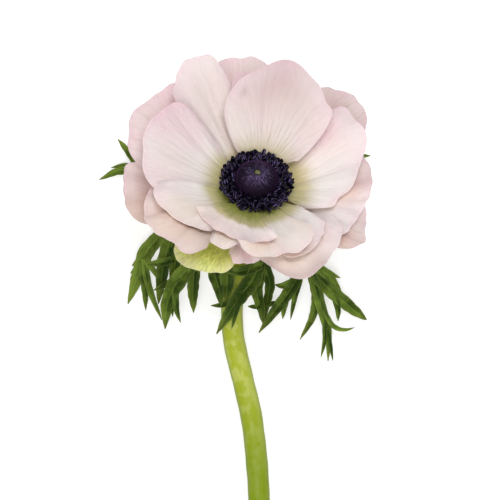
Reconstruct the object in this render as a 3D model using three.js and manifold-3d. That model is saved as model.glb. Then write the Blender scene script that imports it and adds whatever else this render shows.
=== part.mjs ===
// A cut anemone flower lying on a flat surface: a bent green stem, three finely cut bracts round it,
// and a bloom of overlapping petals that looks up and away from the stem. Millimetres, +Z up.
// The origin is on the surface, under the middle of the flower's box. The stem runs along -Y.

import * as THREE from "three";
import { mergeVertices } from "three/addons/utils/BufferGeometryUtils.js";
import Module from "manifold-3d";

const wasm = await Module();
wasm.setup();

const { degToRad, lerp, smoothstep } = THREE.MathUtils;
const point = (x, y, z) => new THREE.Vector3(x, y, z);
const flat = (x, y) => new THREE.Vector2(x, y);
const WELD_REACH = 1e-4; // vertices nearer to each other than this are one

// Driving dimensions.
const HEAD = point(6.4, 81.6, 23.4); // the heart of the bloom, where its axis meets the receptacle's top
const TO_MIDDLE = point(0.7, -5.98, 0.03); // brings the bottom middle of the flower's box to the origin
const HEAD_TILT_UP = degToRad(33); // how far the bloom's axis leans from +Z towards +Y
const HEAD_TILT_SIDE = degToRad(4); // and towards +X

const RECEPTACLE_RADIUS = 4.7;
const RECEPTACLE_TOP = 0.9; // heights in the bloom are measured along its axis
const RECEPTACLE_DEPTH = 6.6;
const STEM_RADIUS = 3.6;
const NECK_RADIUS = 3.1;
const CUT_SLANT = 0.35; // how far the cut end leans, per unit across
const STEM_STEPS = 26;
const STEM_SIDES = 10;

const SEAT_GAP = 0.3; // between pieces that grow out of one another on the real flower

const PETAL_THICK = 0.55;
const PETAL_FOOT_RADIUS = 5.05; // where a petal starts, just clear of the receptacle
const PETAL_FOOT_HALF_WIDTH = 2.3;
const PETAL_TOP_HEIGHT = 0.5; // where the innermost petals leave the receptacle
const LEVEL_DROP = 0.85; // each level of petals leaves it this much lower
const LEVEL_SLOPE = [0.96, 0.79, 0.66, 0.54, 0.43, 0.33, 0.23]; // innermost level first
const BOWL_TURN_RADIUS = 14; // the bowl is nearly flat inside this radius and rises outside it
const BOWL_TURN_SOFTNESS = 14;
const FOOT_FAN_SHARE = 0.7; // how much of its fan a petal has at its foot

const BLADE_HALF_THICK = 0.35;
const ROOT_SHARE = 0.6; // how much of its width a lobe has where it starts
const TIP_SHARE = 0.2; // how much of a lobe's width and thickness is left at its tip
const WHORL = point(2.0, 63.6, 6.6); // where the bracts leave the stem

// Materials, as seen on the flower.
const matte = (color, roughness) => new THREE.MeshStandardMaterial({ color, roughness, metalness: 0 });
const PETAL_BLUSH = matte(0xf0dcdc, 0.6);
const PETAL_GREEN = matte(0xc9cf86, 0.6);
const STEM_GREEN = matte(0x9db33a, 0.5);
const LEAF_GREEN = matte(0x3f6b22, 0.55);
const HEART_VIOLET = matte(0x2a1f42, 0.7);
const ANTHER_NAVY = matte(0x1b1630, 0.45);

// One closed box, cut into a grid, whose every corner is moved by place(x, y, z).
function shapedBox(across, along, place) {
  const box = new THREE.BoxGeometry(2, 1, 1, across, along, 1);
  return shaped(box, (x, y, z) => place(x, y + 0.5, z + 0.5));
}

// A geometry with every vertex moved by place, and its seams closed again.
function shaped(geometry, place) {
  geometry.deleteAttribute("normal");
  geometry.deleteAttribute("uv");
  const at = geometry.getAttribute("position");
  for (let i = 0; i < at.count; i++) {
    const p = place(at.getX(i), at.getY(i), at.getZ(i));
    at.setXYZ(i, p.x, p.y, p.z);
  }
  return mergeVertices(geometry, WELD_REACH);
}

// A closed body swept along a curve. section(s) gives its half width and half thickness at share s of
// the curve, sideOf(tangent) the direction of its width, and slant leans the first end.
function swept({ curve, steps, sides, section, sideOf, slant = 0 }) {
  const round = new THREE.CylinderGeometry(1, 1, 1, sides, steps);
  return shaped(round, (x, y, z) => {
    const s = y + 0.5;
    const tangent = curve.getTangentAt(s);
    const side = sideOf(tangent).clone().projectOnPlane(tangent).normalize();
    const face = side.clone().cross(tangent);
    const [halfWidth, halfThick] = section(s);
    return curve
      .getPointAt(s)
      .addScaledVector(side, x * halfWidth)
      .addScaledVector(face, z * halfThick)
      .addScaledVector(tangent, s === 0 ? slant * z * halfThick : 0);
  });
}

function solidOf(geometry) {
  const vertProperties = geometry.getAttribute("position").array;
  const triVerts = new Uint32Array(geometry.index.array);
  return new wasm.Manifold(new wasm.Mesh({ numProp: 3, vertProperties, triVerts }));
}

// Several closed geometries joined into one.
function joined(geometries) {
  const whole = geometries.map(solidOf).reduce((all, next) => all.add(next));
  const { vertProperties, triVerts } = whole.getMesh();
  return new THREE.BufferGeometry()
    .setAttribute("position", new THREE.BufferAttribute(new Float32Array(vertProperties), 3))
    .setIndex(new THREE.BufferAttribute(new Uint32Array(triVerts), 1));
}

function named(name, geometry, material) {
  const mesh = new THREE.Mesh(geometry, material);
  mesh.name = name;
  return mesh;
}

// The petals. Each lies on a bowl round the bloom's axis, and the bowls of the outer levels lie under
// those of the inner ones, so that no two petals meet. Azimuth 90 points away from the stem.
// fan is half the angle, in degrees, that the petal opens to as seen from its foot. rim holds how far its
// edge is from the foot at even steps across that fan, clockwise. dip lowers the middle of the rim.
const PETALS = [
  { name: "top_front", level: 0, azimuth: 77, fan: 62, rim: [8, 23, 28, 31, 34, 33, 30, 27, 13] },
  {
    name: "bottom_front",
    level: 0,
    azimuth: 250,
    fan: 39,
    rim: [25, 26, 25, 24, 23, 23, 23, 23, 22],
    dip: 2.5,
  },
  { name: "left_upper_lip", level: 1, azimuth: 213, fan: 40, rim: [14, 27, 32, 33, 34, 28, 12], dip: 1 },
  {
    name: "right_lower_lip",
    level: 1,
    azimuth: 284,
    fan: 34,
    rim: [23, 27, 30, 31, 30, 31, 32, 30, 24],
    dip: 2.5,
  },
  { name: "left_inner", level: 2, azimuth: 166, fan: 47, rim: [20, 31, 34, 34, 35, 35, 34, 32, 17] },
  { name: "right_second_lip", level: 2, azimuth: 306, fan: 36, rim: [13, 22, 26, 29, 31, 30, 18], dip: 1.5 },
  { name: "bottom_small", level: 2, azimuth: 246, fan: 14, rim: [23, 28, 28, 27, 20], dip: 1 },
  { name: "top_small", level: 2, azimuth: 98, fan: 13, rim: [24, 32, 34, 33, 24] },
  { name: "right_inner", level: 3, azimuth: 11, fan: 52, rim: [24, 36, 36, 35, 31, 28, 24, 21, 9] },
  { name: "top_left_inner", level: 3, azimuth: 123, fan: 23, rim: [19, 32, 37, 41, 44, 43, 31] },
  { name: "left_lower_lip", level: 3, azimuth: 213, fan: 32, rim: [29, 37, 36, 40, 39, 37, 35, 32, 26] },
  {
    name: "right_third_lip",
    level: 4,
    azimuth: 294,
    fan: 50,
    rim: [25, 30, 32, 34, 36, 39, 37, 30, 25, 23, 21],
  },
  { name: "upper_right_outer", level: 5, azimuth: 51, fan: 25, rim: [24, 37, 41, 43, 44, 42, 34] },
  { name: "upper_left_outer", level: 5, azimuth: 150, fan: 37, rim: [24, 37, 41, 44, 43, 43, 38] },
  { name: "right_outer", level: 5, azimuth: 347, fan: 35, rim: [30, 35, 35, 33, 31, 30, 20] },
  { name: "bottom_pink_outer", level: 5, azimuth: 262, fan: 13, rim: [25, 27, 28, 28, 24] },
  { name: "top_outer", level: 6, azimuth: 98, fan: 26, rim: [24, 40, 45, 45, 45, 41, 24], dip: -4 },
  { name: "left_outer", level: 6, azimuth: 187, fan: 28, rim: [26, 37, 40, 40, 40, 39, 26] },
  {
    name: "bottom_green_outer",
    level: 6,
    azimuth: 241,
    fan: 26,
    rim: [14, 28, 33, 35, 37, 35, 30],
    material: PETAL_GREEN,
  },
  { name: "lower_right_outer", level: 6, azimuth: 330, fan: 24, rim: [27, 34, 35, 37, 34, 24, 14] },
];
const PETAL_CELLS_ALONG = 4;

const bowlRise = (r) =>
  0.5 * (r - BOWL_TURN_RADIUS + Math.hypot(r - BOWL_TURN_RADIUS, BOWL_TURN_SOFTNESS));

const bowlHeight = (level, r) =>
  PETAL_TOP_HEIGHT - LEVEL_DROP * level + LEVEL_SLOPE[level] * (bowlRise(r) - bowlRise(PETAL_FOOT_RADIUS));

// The point of a petal at t across its fan (-1 to 1) and u from its foot to its rim (0 to 1).
function petalPoint({ level, azimuth, fan, dip = 0 }, rimCurve, t, u) {
  const ray = rimCurve.getPoint((t + 1) / 2).y;
  const angle = degToRad(fan) * t * lerp(FOOT_FAN_SHARE, 1, u);
  const sideways = lerp(PETAL_FOOT_HALF_WIDTH * t, ray * Math.sin(angle), u);
  const outwards = PETAL_FOOT_RADIUS + u * ray * Math.cos(angle);
  const r = Math.hypot(sideways, outwards);
  const turn = degToRad(azimuth) - Math.atan2(sideways, outwards);
  const height = bowlHeight(level, r) - dip * (1 - t * t) * u ** 4;
  return point(r * Math.cos(turn), r * Math.sin(turn), height);
}

function petal(shape) {
  const rimCurve = new THREE.SplineCurve(shape.rim.map((reach, i) => flat(i, reach)));
  const geometry = shapedBox(shape.rim.length + 1, PETAL_CELLS_ALONG, (x, u, top) => {
    const t = Math.sin((x * Math.PI) / 2); // narrower cells towards the petal's sides
    const p = petalPoint(shape, rimCurve, t, u);
    return p.setZ(p.z - PETAL_THICK * (1 - top));
  });
  return named(`petal_${shape.name}`, geometry, shape.material ?? PETAL_BLUSH);
}

// The pistil, a low velvety dome on a short foot that stands on the receptacle.
const PISTIL_FOOT_RADIUS = 2.9;
const PISTIL_TOP = 9.6;
const PISTIL_SIDES = 16;
const PISTIL_ROWS = 7;

function pistil() {
  const foot = flat(PISTIL_FOOT_RADIUS, RECEPTACLE_TOP + SEAT_GAP);
  const swelling = new THREE.SplineCurve([
    flat(PISTIL_FOOT_RADIUS, 3.5),
    flat(5.4, 4.1),
    flat(7.2, 5.5),
    flat(6.4, 7.6),
    flat(3.6, 9.0),
    flat(1.2, 9.5),
  ]);
  const outline = [flat(0, foot.y), foot, ...swelling.getPoints(PISTIL_ROWS), flat(0, PISTIL_TOP)];
  const dome = new THREE.LatheGeometry(outline, PISTIL_SIDES).rotateX(Math.PI / 2);
  return named("pistil", shaped(dome, point), HEART_VIOLET);
}

// The stamens, in three whorls. Each whorl is one collar round the pistil's foot, with filaments that
// run out under the dome and turn up into their anthers. Heights are along the bloom's axis.
// turned is the share of a step that a whorl is turned by.
const WHORLS = [
  { name: "stamens_inner", turned: 0, collar: 2.75, outAt: 8.6, antherFoot: 4.7, antherTop: 6.7 },
  { name: "stamens_middle", turned: 0.5, collar: 2.05, outAt: 10.4, antherFoot: 4.1, antherTop: 6.1 },
  { name: "stamens_outer", turned: 0, collar: 1.35, outAt: 12.0, antherFoot: 3.9, antherTop: 5.4 },
];
const STAMENS_PER_WHORL = 16;
const COLLAR_INNER = 3.2;
const COLLAR_OUTER = 4.9;
const COLLAR_THICK = 0.4;
const COLLAR_SIDES = 18;
const FILAMENT_ROOT = 0.5; // how deep a filament starts in its collar
const FILAMENT_RADIUS = 0.2;
const FILAMENT_BEND = { out: 0.6, up: 0.5 }; // shares of its way out and up where it turns upwards
const ANTHER_RADIUS = 0.62;
const ANTHER_LEAN = 0.3;
const ANTHER_SWELLS = { from: 0.55, to: 0.8 }; // shares of the stamen's length
const ANTHER_TIP_SHARE = 0.6;

function stamen({ collar, outAt, antherFoot, antherTop }, turn) {
  const along = (r, z) => point(r * Math.cos(turn), r * Math.sin(turn), z);
  const curve = new THREE.CatmullRomCurve3([
    along(COLLAR_OUTER - FILAMENT_ROOT, collar + COLLAR_THICK / 2),
    along(lerp(COLLAR_OUTER, outAt, FILAMENT_BEND.out), lerp(collar, antherFoot, FILAMENT_BEND.up)),
    along(outAt - ANTHER_LEAN, antherFoot),
    along(outAt, antherTop),
  ]);
  const tangential = point(-Math.sin(turn), Math.cos(turn), 0);
  const radius = (s) => {
    const swelling = smoothstep(s, ANTHER_SWELLS.from, ANTHER_SWELLS.to);
    return lerp(FILAMENT_RADIUS, ANTHER_RADIUS, swelling) * (s === 1 ? ANTHER_TIP_SHARE : 1);
  };
  return swept({
    curve,
    steps: 4,
    sides: 4,
    section: (s) => [radius(s), radius(s)],
    sideOf: () => tangential,
  });
}

function stamenWhorl(whorl) {
  const rim = [
    flat(COLLAR_INNER, whorl.collar),
    flat(COLLAR_OUTER, whorl.collar),
    flat(COLLAR_OUTER, whorl.collar + COLLAR_THICK),
    flat(COLLAR_INNER, whorl.collar + COLLAR_THICK),
    flat(COLLAR_INNER, whorl.collar),
  ];
  const collar = shaped(new THREE.LatheGeometry(rim, COLLAR_SIDES).rotateX(Math.PI / 2), point);
  const stamens = Array.from({ length: STAMENS_PER_WHORL }, (_, i) =>
    stamen(whorl, ((i + whorl.turned) * 2 * Math.PI) / STAMENS_PER_WHORL),
  );
  return named(whorl.name, joined([collar, ...stamens]), ANTHER_NAVY);
}

// The stem lies on the surface from its cut end to the bracts, then bends up into the receptacle. Its
// width is a function of the length that is left to the receptacle's top.
const STEM_NARROWS = { from: 40, to: 14 };
const RECEPTACLE_LENGTH = RECEPTACLE_DEPTH + RECEPTACLE_TOP;
const RECEPTACLE_SWELLS = { from: 1.5 * RECEPTACLE_LENGTH, to: 0.8 * RECEPTACLE_LENGTH };

const headTurn = new THREE.Euler(-HEAD_TILT_UP, HEAD_TILT_SIDE, 0);
const axisPoint = (height) => point(0, 0, height).applyEuler(headTurn).add(HEAD);

function stem() {
  const lying = [
    [1.5, -115],
    [4.6, -85],
    [7.2, -52],
    [7.6, -26],
    [5.2, 1],
    [2.1, 15],
    [-1.1, 29],
    [-1.8, 40],
  ].map(([x, y]) => point(x, y, STEM_RADIUS));
  const rising = [point(-0.6, 53, 4.1), WHORL, point(4.3, 71.2, 11.1)];
  const seat = [-RECEPTACLE_DEPTH, -RECEPTACLE_DEPTH / 2, RECEPTACLE_TOP].map(axisPoint);
  const curve = new THREE.CatmullRomCurve3([...lying, ...rising, ...seat]);
  const length = curve.getLength();
  const radius = (s) => {
    const left = length * (1 - s);
    const neck = lerp(NECK_RADIUS, STEM_RADIUS, smoothstep(left, STEM_NARROWS.to, STEM_NARROWS.from));
    const clear = smoothstep(left, RECEPTACLE_SWELLS.to, RECEPTACLE_SWELLS.from);
    return lerp(RECEPTACLE_RADIUS, neck, clear);
  };
  const geometry = swept({
    curve,
    steps: STEM_STEPS,
    sides: STEM_SIDES,
    section: (s) => [radius(s), radius(s)],
    sideOf: () => point(1, 0, 0),
    slant: CUT_SLANT,
  });
  return named("stem", geometry, STEM_GREEN);
}

// The bracts. Each is one leaf, cut into narrow lobes that start on its stalks. A lobe has its half
// width, the heights above the surface that it starts and ends at, and its way in plan from the whorl.
const BRACTS = [
  {
    name: "bract_left",
    lobes: [
      { half: 1.6, from: 6.2, to: 5.2, way: [[-3.9, 0], [-17, 3.5], [-31, 2]] },
      { half: 2.6, from: 5.2, to: 0.25, way: [[-29, 2.5], [-34.3, -3.5], [-36, -11], [-40, -22]] },
      { half: 1.4, from: 4.2, to: 0.4, way: [[-35, -7], [-34, -16], [-33.8, -24.3]] },
      { half: 1.2, from: 4.4, to: 0.3, way: [[-34.5, -6], [-32.3, -17], [-28.2, -27.7]] },
      { half: 1.2, from: 4.4, to: 3.6, way: [[-34.5, -6], [-31.4, -9.6], [-29.9, -13]] },
      { half: 0.9, from: 3.8, to: 2.6, way: [[-35.5, -6.5], [-38.6, -9.4]] },
      { half: 1.0, from: 3.4, to: 2.0, way: [[-36, -9.5], [-39.2, -14]] },
      { half: 2.4, from: 5.3, to: 0.5, way: [[-24, 3], [-27, -6], [-28.5, -15], [-29.4, -22]] },
      { half: 2.0, from: 5.3, to: 0.8, way: [[-22, 3.2], [-23.5, -8], [-25, -19]] },
      { half: 1.4, from: 5.0, to: 4.4, way: [[-24, -6.5], [-28, -7.6], [-34, -8.2]] },
      { half: 1.5, from: 6.2, to: 3.2, way: [[-3.9, 0.6], [-20, 13], [-36, 24]] },
      { half: 1.5, from: 3.2, to: 0.3, way: [[-34, 22.5], [-38, 28.5], [-43.5, 35.3]] },
      { half: 1.0, from: 3.2, to: 1.2, way: [[-34, 22.5], [-40, 26], [-46, 25.3]] },
      { half: 1.5, from: 3.2, to: 0.3, way: [[-34, 22.5], [-42, 24.3], [-50, 21.2]] },
    ],
  },
  {
    name: "bract_front",
    lobes: [
      { half: 1.8, from: 11.2, to: 11.4, way: [[0, -1], [3, -4.5], [7, -9]] },
      { half: 2.7, from: 11.2, to: 6.8, way: [[5.5, -7.5], [0.5, -14.5], [-4, -22], [-9.1, -32.3]] },
      { half: 1.0, from: 9.6, to: 8.0, way: [[-0.5, -17], [-2.6, -25.5], [-3.9, -30.5]] },
      { half: 1.0, from: 9.6, to: 8.6, way: [[-2, -19.5], [-7, -22.2], [-11, -22.8]] },
      { half: 1.8, from: 11.2, to: 0.9, way: [[5.8, -8], [4.8, -17], [6.3, -24], [7, -29]] },
      { half: 0.8, from: 6.6, to: 5.0, way: [[6, -23], [1.6, -22.8]] },
      { half: 1.8, from: 11.0, to: 0.9, way: [[7, -7], [9.3, -15], [8.2, -22], [7.3, -28.3]] },
      { half: 0.9, from: 6.6, to: 3.4, way: [[8.2, -22.4], [11.8, -21.2]] },
      { half: 1.8, from: 11.2, to: 11.0, way: [[6.5, -8.5], [-1, -10.6], [-8, -10]] },
      { half: 2.2, from: 11.2, to: 9.0, way: [[-6, -8], [-8.4, -13], [-7.8, -18], [-7.3, -23]] },
      { half: 2.2, from: 11.2, to: 9.0, way: [[-3, -9], [-4.3, -16], [-6, -23]] },
      { half: 1.6, from: 11.2, to: 9.8, way: [[-0.3, -1.2], [-11, -4], [-19, -9.5]] },
      { half: 2.8, from: 9.8, to: 3.5, way: [[-17, -7.5], [-22.5, -14], [-26, -21.5], [-27, -30.6]] },
      { half: 1.1, from: 8.6, to: 6.4, way: [[-22, -12.5], [-27, -15.4], [-31, -17.3]] },
      { half: 0.8, from: 7.6, to: 5.6, way: [[-24.5, -17], [-28.5, -24.5]] },
      { half: 1.2, from: 8.2, to: 4.2, way: [[-23.3, -14], [-23, -23.5], [-21.6, -28.5]] },
      { half: 0.8, from: 6.8, to: 5.0, way: [[-25, -19], [-24.3, -26.5]] },
      { half: 2.1, from: 9.8, to: 4.6, way: [[-16.6, -7], [-17.2, -16], [-17.1, -25]] },
    ],
  },
  {
    name: "bract_right",
    lobes: [
      { half: 1.7, from: 6.4, to: 5.6, way: [[4.3, 0], [14, -3], [23.5, -9.5]] },
      { half: 2.5, from: 5.6, to: 0.25, way: [[22, -8], [28.6, -15.5], [36.5, -22.5], [43, -27.6]] },
      { half: 1.2, from: 4.7, to: 1.2, way: [[31.3, -17.6], [32.8, -23], [33.1, -28]] },
      { half: 1.3, from: 5.6, to: 3.4, way: [[23, -7.6], [30.5, -11.6], [33.8, -13]] },
      { half: 1.4, from: 5.6, to: 3.4, way: [[23, -8], [30.5, -13], [34.5, -19]] },
      { half: 1.6, from: 5.4, to: 0.8, way: [[22.8, -9], [25.2, -18], [24.3, -26], [19.8, -34.5]] },
      { half: 1.8, from: 5.4, to: 0.3, way: [[23.6, -9], [26.8, -22], [29.5, -32], [29.6, -42]] },
      { half: 0.8, from: 4.1, to: 0.4, way: [[28.2, -26.5], [28.3, -34.5], [27.1, -40.8]] },
      { half: 0.7, from: 3.2, to: 0.4, way: [[29.4, -31], [30.5, -37], [31.3, -42]] },
      { half: 0.9, from: 4.5, to: 1.4, way: [[27.8, -24], [31.4, -29.7], [35.2, -31], [38.9, -30.2]] },
      { half: 1.5, from: 6.4, to: 7.2, way: [[4.3, -0.4], [13, -4.5], [20.5, -11.5]] },
      { half: 2.1, from: 7.2, to: 4.2, way: [[20.5, -9.5], [16.4, -17], [11.3, -24], [5.5, -32]] },
      { half: 1.2, from: 6.9, to: 6.6, way: [[17.5, -14], [13.8, -15.6], [10.9, -15.3]] },
      { half: 1.3, from: 6.4, to: 3.8, way: [[15.8, -16.5], [14.4, -22], [13.8, -27.2]] },
      { half: 1.0, from: 7.0, to: 3.0, way: [[20.3, -11.5], [17.8, -20.5], [16.5, -27.5]] },
      { half: 1.4, from: 6.4, to: 3.4, way: [[4.3, 0.5], [20, 8.5], [36, 20]] },
      { half: 1.5, from: 3.4, to: 0.3, way: [[34, 18.5], [39.5, 24.5], [43.8, 29.8]] },
      { half: 1.2, from: 3.4, to: 0.3, way: [[34, 18.5], [38.5, 19.6], [41.5, 17]] },
    ],
  },
];

const flatSide = (tangent) => tangent.clone().cross(point(0, 0, 1));

function lobe({ half, from, to, way }) {
  const last = way.length - 1;
  const droop = (i) => lerp(from, to, (i / last) ** 2);
  const spots = way.map(([x, y], i) => point(WHORL.x + x, WHORL.y + y, droop(i)));
  const curve = new THREE.CatmullRomCurve3(spots);
  const halfWidth = (s) => half * Math.min(1, ROOT_SHARE + s) * Math.max(TIP_SHARE, 1 - s ** 3);
  return swept({
    curve,
    steps: way.length,
    sides: 4,
    section: (s) => [halfWidth(s), BLADE_HALF_THICK * lerp(1, TIP_SHARE, s ** 4)],
    sideOf: flatSide,
  });
}

const bract = ({ name, lobes }) => named(name, joined(lobes.map(lobe)), LEAF_GREEN);

const head = new THREE.Group();
head.position.copy(HEAD);
head.rotation.copy(headTurn);
head.add(...PETALS.map(petal), pistil(), ...WHORLS.map(stamenWhorl));

const flower = new THREE.Group();
flower.add(stem(), head, ...BRACTS.map(bract));
flower.position.copy(TO_MIDDLE);

export default flower;
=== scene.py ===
# %% [markdown]
# # A cut anemone, laid on a table
# This lesson builds the look of one cut flower: a lime green stem, three finely cut leaves under the
# bloom, twenty blush petals, a ring of navy stamens and a velvety violet heart.
# The construction model comes first. It gives every piece its real place and size, in metres, and
# nothing here moves it. We only build finer pieces that stand where its plain ones are.

# %% Open the frame
import math

import bpy
import numpy as np
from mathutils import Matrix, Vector


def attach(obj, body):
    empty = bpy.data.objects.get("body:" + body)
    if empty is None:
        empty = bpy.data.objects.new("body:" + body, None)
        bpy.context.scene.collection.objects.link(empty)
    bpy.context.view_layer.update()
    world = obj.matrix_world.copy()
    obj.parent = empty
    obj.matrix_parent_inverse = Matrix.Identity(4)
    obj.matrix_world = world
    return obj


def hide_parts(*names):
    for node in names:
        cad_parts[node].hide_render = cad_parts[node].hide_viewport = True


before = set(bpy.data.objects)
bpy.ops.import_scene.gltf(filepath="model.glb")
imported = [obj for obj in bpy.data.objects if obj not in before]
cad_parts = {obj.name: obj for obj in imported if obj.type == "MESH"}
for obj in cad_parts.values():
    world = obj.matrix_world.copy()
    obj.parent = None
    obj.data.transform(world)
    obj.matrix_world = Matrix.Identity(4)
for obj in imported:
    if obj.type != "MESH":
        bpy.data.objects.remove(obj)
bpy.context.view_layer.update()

MM = 0.001

# %% [markdown]
# ## One place for the bloom
# Petals, stamens and heart all grow round one axis, so they are easiest to describe in the bloom's own
# frame: millimetres, with +Z along that axis. One function tips such points as the lying flower tips
# its head. Stem and leaves are described as they lie, before the flower is moved to the table's middle.

# %% Turn the head
HEAD = np.array([6.4, 81.6, 23.4])
TO_MIDDLE = np.array([0.7, -5.98, 0.03])
TILT_UP = math.radians(33)
TILT_SIDE = math.radians(4)


def turned(axes, angle):
    """The rotation by an angle in the plane of two of the axes."""
    turn = np.eye(3)
    first, second = axes
    turn[first, first] = turn[second, second] = math.cos(angle)
    turn[first, second], turn[second, first] = math.sin(angle), -math.sin(angle)
    return turn


HEAD_TURN = turned((1, 2), TILT_UP) @ turned((0, 2), TILT_SIDE)


def in_bloom(points):
    """Points of the bloom's own frame, brought to where the head lies."""
    return points @ HEAD_TURN.T + HEAD


print("the bloom's axis points to", HEAD_TURN[:, 2].round(2))

# %% [markdown]
# ## The camera
# The photograph shows the flower from the side. This flower lies down, so the same view is from straight
# above. A long lens far away keeps the perspective flat.

# %% Camera
MM_PER_PIXEL = 0.34
FRAME_PIXELS = 500
CAMERA_AWAY = 1000
VIEW_MIDDLE = np.array([4.45, 60.3, 23.4])
SENSOR = 36


def placed(name, data, place=(0, 0, 0)):
    """A new object in the scene, made from its data."""
    made = bpy.data.objects.new(name, data)
    made.location = place
    bpy.context.scene.collection.objects.link(made)
    return made


camera_data = bpy.data.cameras.new("camera")
camera_data.sensor_width = SENSOR
camera_data.lens = SENSOR * CAMERA_AWAY / (MM_PER_PIXEL * FRAME_PIXELS)
camera_place = (VIEW_MIDDLE + TO_MIDDLE + [0, 0, CAMERA_AWAY]) * MM
bpy.context.scene.camera = placed("camera", camera_data, camera_place)
print("lens", round(camera_data.lens), "mm")

# %% [markdown]
# ## Light and floor
# Pale light from all sides fills the folds between the petals. A softbox beyond the top of the bloom
# gives them form, and one near the camera opens the shadows under the rims. A bare bulb would draw hard
# shadows, so both boxes are wide.

# %% Light
SKY_STRENGTH = 0.40
AIM = (HEAD + TO_MIDDLE) * MM

world = bpy.data.worlds.new("tent")
world.use_nodes = True
world.node_tree.nodes["Background"].inputs["Color"].default_value = (1, 1, 1, 1)
world.node_tree.nodes["Background"].inputs["Strength"].default_value = SKY_STRENGTH
bpy.context.scene.world = world
bpy.context.scene.view_settings.view_transform = "Standard"


def softbox(name, watts, size, place):
    """A square lamp that faces the bloom."""
    lamp_data = bpy.data.lights.new(name, "AREA")
    lamp_data.energy = watts
    lamp_data.size = size
    lamp = placed(name, lamp_data, place)
    lamp.rotation_mode = "QUATERNION"
    lamp.rotation_quaternion = (Vector(AIM) - lamp.location).to_track_quat("-Z", "Y")
    print(name, "stands at", place)


softbox("main_box", 4.1, 0.4, (0.12, 0.45, 0.82))
softbox("front_box", 4.1, 0.5, (-0.12, -0.2, 0.95))

# %% [markdown]
# ## Finishes are wired, not painted
# A procedural finish is a small network of nodes. A few helpers keep the wiring readable: they start a
# finish, add a node and plug in whatever it is given, do a sum, mix two colours or make a noise.

# %% Wiring helpers
def start_finish(name, **values):
    """A new finish, and its surface shader with the values that are the same all over."""
    finish = bpy.data.materials.new(name)
    finish.use_nodes = True
    surface = finish.node_tree.nodes["Principled BSDF"]
    for socket, value in values.items():
        surface.inputs[socket.replace("_", " ")].default_value = value
    return finish, surface


def plug(value, socket):
    """Links an output to a socket, or sets the socket's own value."""
    if isinstance(value, bpy.types.NodeSocket):
        socket.id_data.links.new(value, socket)
    else:
        socket.default_value = value


def add_node(beside, kind, settings=None, **inputs):
    """A new node, in the same tree as a shader or an output. An input named _1 is the second one."""
    made = beside.id_data.nodes.new(kind)
    for name, value in (settings or {}).items():
        setattr(made, name, value)
    for name, value in inputs.items():
        socket = made.inputs[int(name[1:])] if name[0] == "_" else made.inputs[name]
        plug(value, socket)
    return made


def attribute(surface, name):
    """A number that was stored on the mesh, point by point."""
    return add_node(surface, "ShaderNodeAttribute", {"attribute_name": name}).outputs["Fac"]


def math_of(operation, first, second=0.0, clamp=False):
    """The result of one operation on an output, and perhaps a second one or a number."""
    settings = {"operation": operation, "use_clamp": clamp}
    return add_node(first, "ShaderNodeMath", settings, _0=first, _1=second).outputs[0]


def times(first, second, clamp=False):
    return math_of("MULTIPLY", first, second, clamp)


def plus(first, second, clamp=False):
    return math_of("ADD", first, second, clamp)


def remap(value, low, high, to_low=0.0, to_high=1.0):
    """A value between low and high, eased to a value between two others."""
    settings = {"interpolation_type": "SMOOTHSTEP"}
    made = add_node(value, "ShaderNodeMapRange", settings, Value=value)
    for socket, number in zip(made.inputs[1:5], (low, high, to_low, to_high)):
        socket.default_value = number
    return made.outputs["Result"]


def blend_of(share, first, second, kind="MIX"):
    """Two colours mixed by a share."""
    settings = {"data_type": "RGBA", "blend_type": kind}
    return add_node(share, "ShaderNodeMix", settings, _0=share, _6=first, _7=second).outputs[2]


def tinted(colour, *layers):
    """A colour under others. Each of them covers it by up to most as a value goes from low to high."""
    for over, value, low, high, most in layers:
        colour = blend_of(remap(value, low, high, 0, most), colour, over)
    return colour


def streaks(across, along, scale, detail=3.0, beside=0.0):
    """Noise drawn out into streaks along the coordinate that was made small before it came here."""
    place = add_node(across, "ShaderNodeCombineXYZ", X=across, Y=along, Z=beside).outputs[0]
    noise = add_node(across, "ShaderNodeTexNoise", Vector=place, Scale=scale, Detail=detail, Roughness=0.55)
    return noise.outputs["Fac"]


def blotches(surface, scale, detail=2.0):
    """Soft noise in the flower's own space, in spots of about one over scale metres."""
    place = add_node(surface, "ShaderNodeTexCoord").outputs["Object"]
    noise = add_node(surface, "ShaderNodeTexNoise", Vector=place, Scale=scale, Detail=detail)
    return noise.outputs["Fac"]


def relief(surface, height, depth_mm, strength):
    """Fine relief under the light, too small to be worth geometry."""
    bump = add_node(surface, "ShaderNodeBump", Height=height, Distance=depth_mm * MM, Strength=strength)
    plug(bump.outputs["Normal"], surface.inputs["Normal"])


print("wiring helpers ready")

# %% [markdown]
# The floor is a plain pale board. It glows a little, as paper lit from behind does, which keeps the
# flower's shadow light.

# %% Floor
FLOOR_CORNERS = [(-2, -2, 0), (2, -2, 0), (2, 2, 0), (-2, 2, 0)]

board, _ = start_finish(
    "pale_board", Base_Color=(0.5, 0.5, 0.5, 1), Roughness=0.9,
    Emission_Color=(1, 1, 1, 1), Emission_Strength=0.62,
)
floor_mesh = bpy.data.meshes.new("floor")
floor_mesh.from_pydata(FLOOR_CORNERS, [], [(0, 1, 2, 3)])
floor_mesh.materials.append(board)
floor = placed("floor", floor_mesh)
print("floor laid")

# %% [markdown]
# ## Curves through a few points
# Stem, leaf lobes and petal rims are smooth lines through a few points. The centripetal Catmull-Rom
# curve suits them: it passes through every point and never makes a loop.

# %% Curve helpers
FINE_STEPS = 24


def eased(value, low, high):
    """0 below low, 1 above high, and a soft step between them."""
    share = np.clip((value - low) / (high - low), 0, 1)
    return share * share * (3 - 2 * share)


def between(low, high, share):
    """The value at a share of the way from low to high."""
    return low + (high - low) * share


def hermite(start, end, leave, arrive, share):
    """A cubic from start to end with given slopes at both."""
    a = 2 * start - 2 * end + leave + arrive
    b = -3 * start + 3 * end - 2 * leave - arrive
    return ((a * share + b) * share + leave) * share + start


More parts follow.
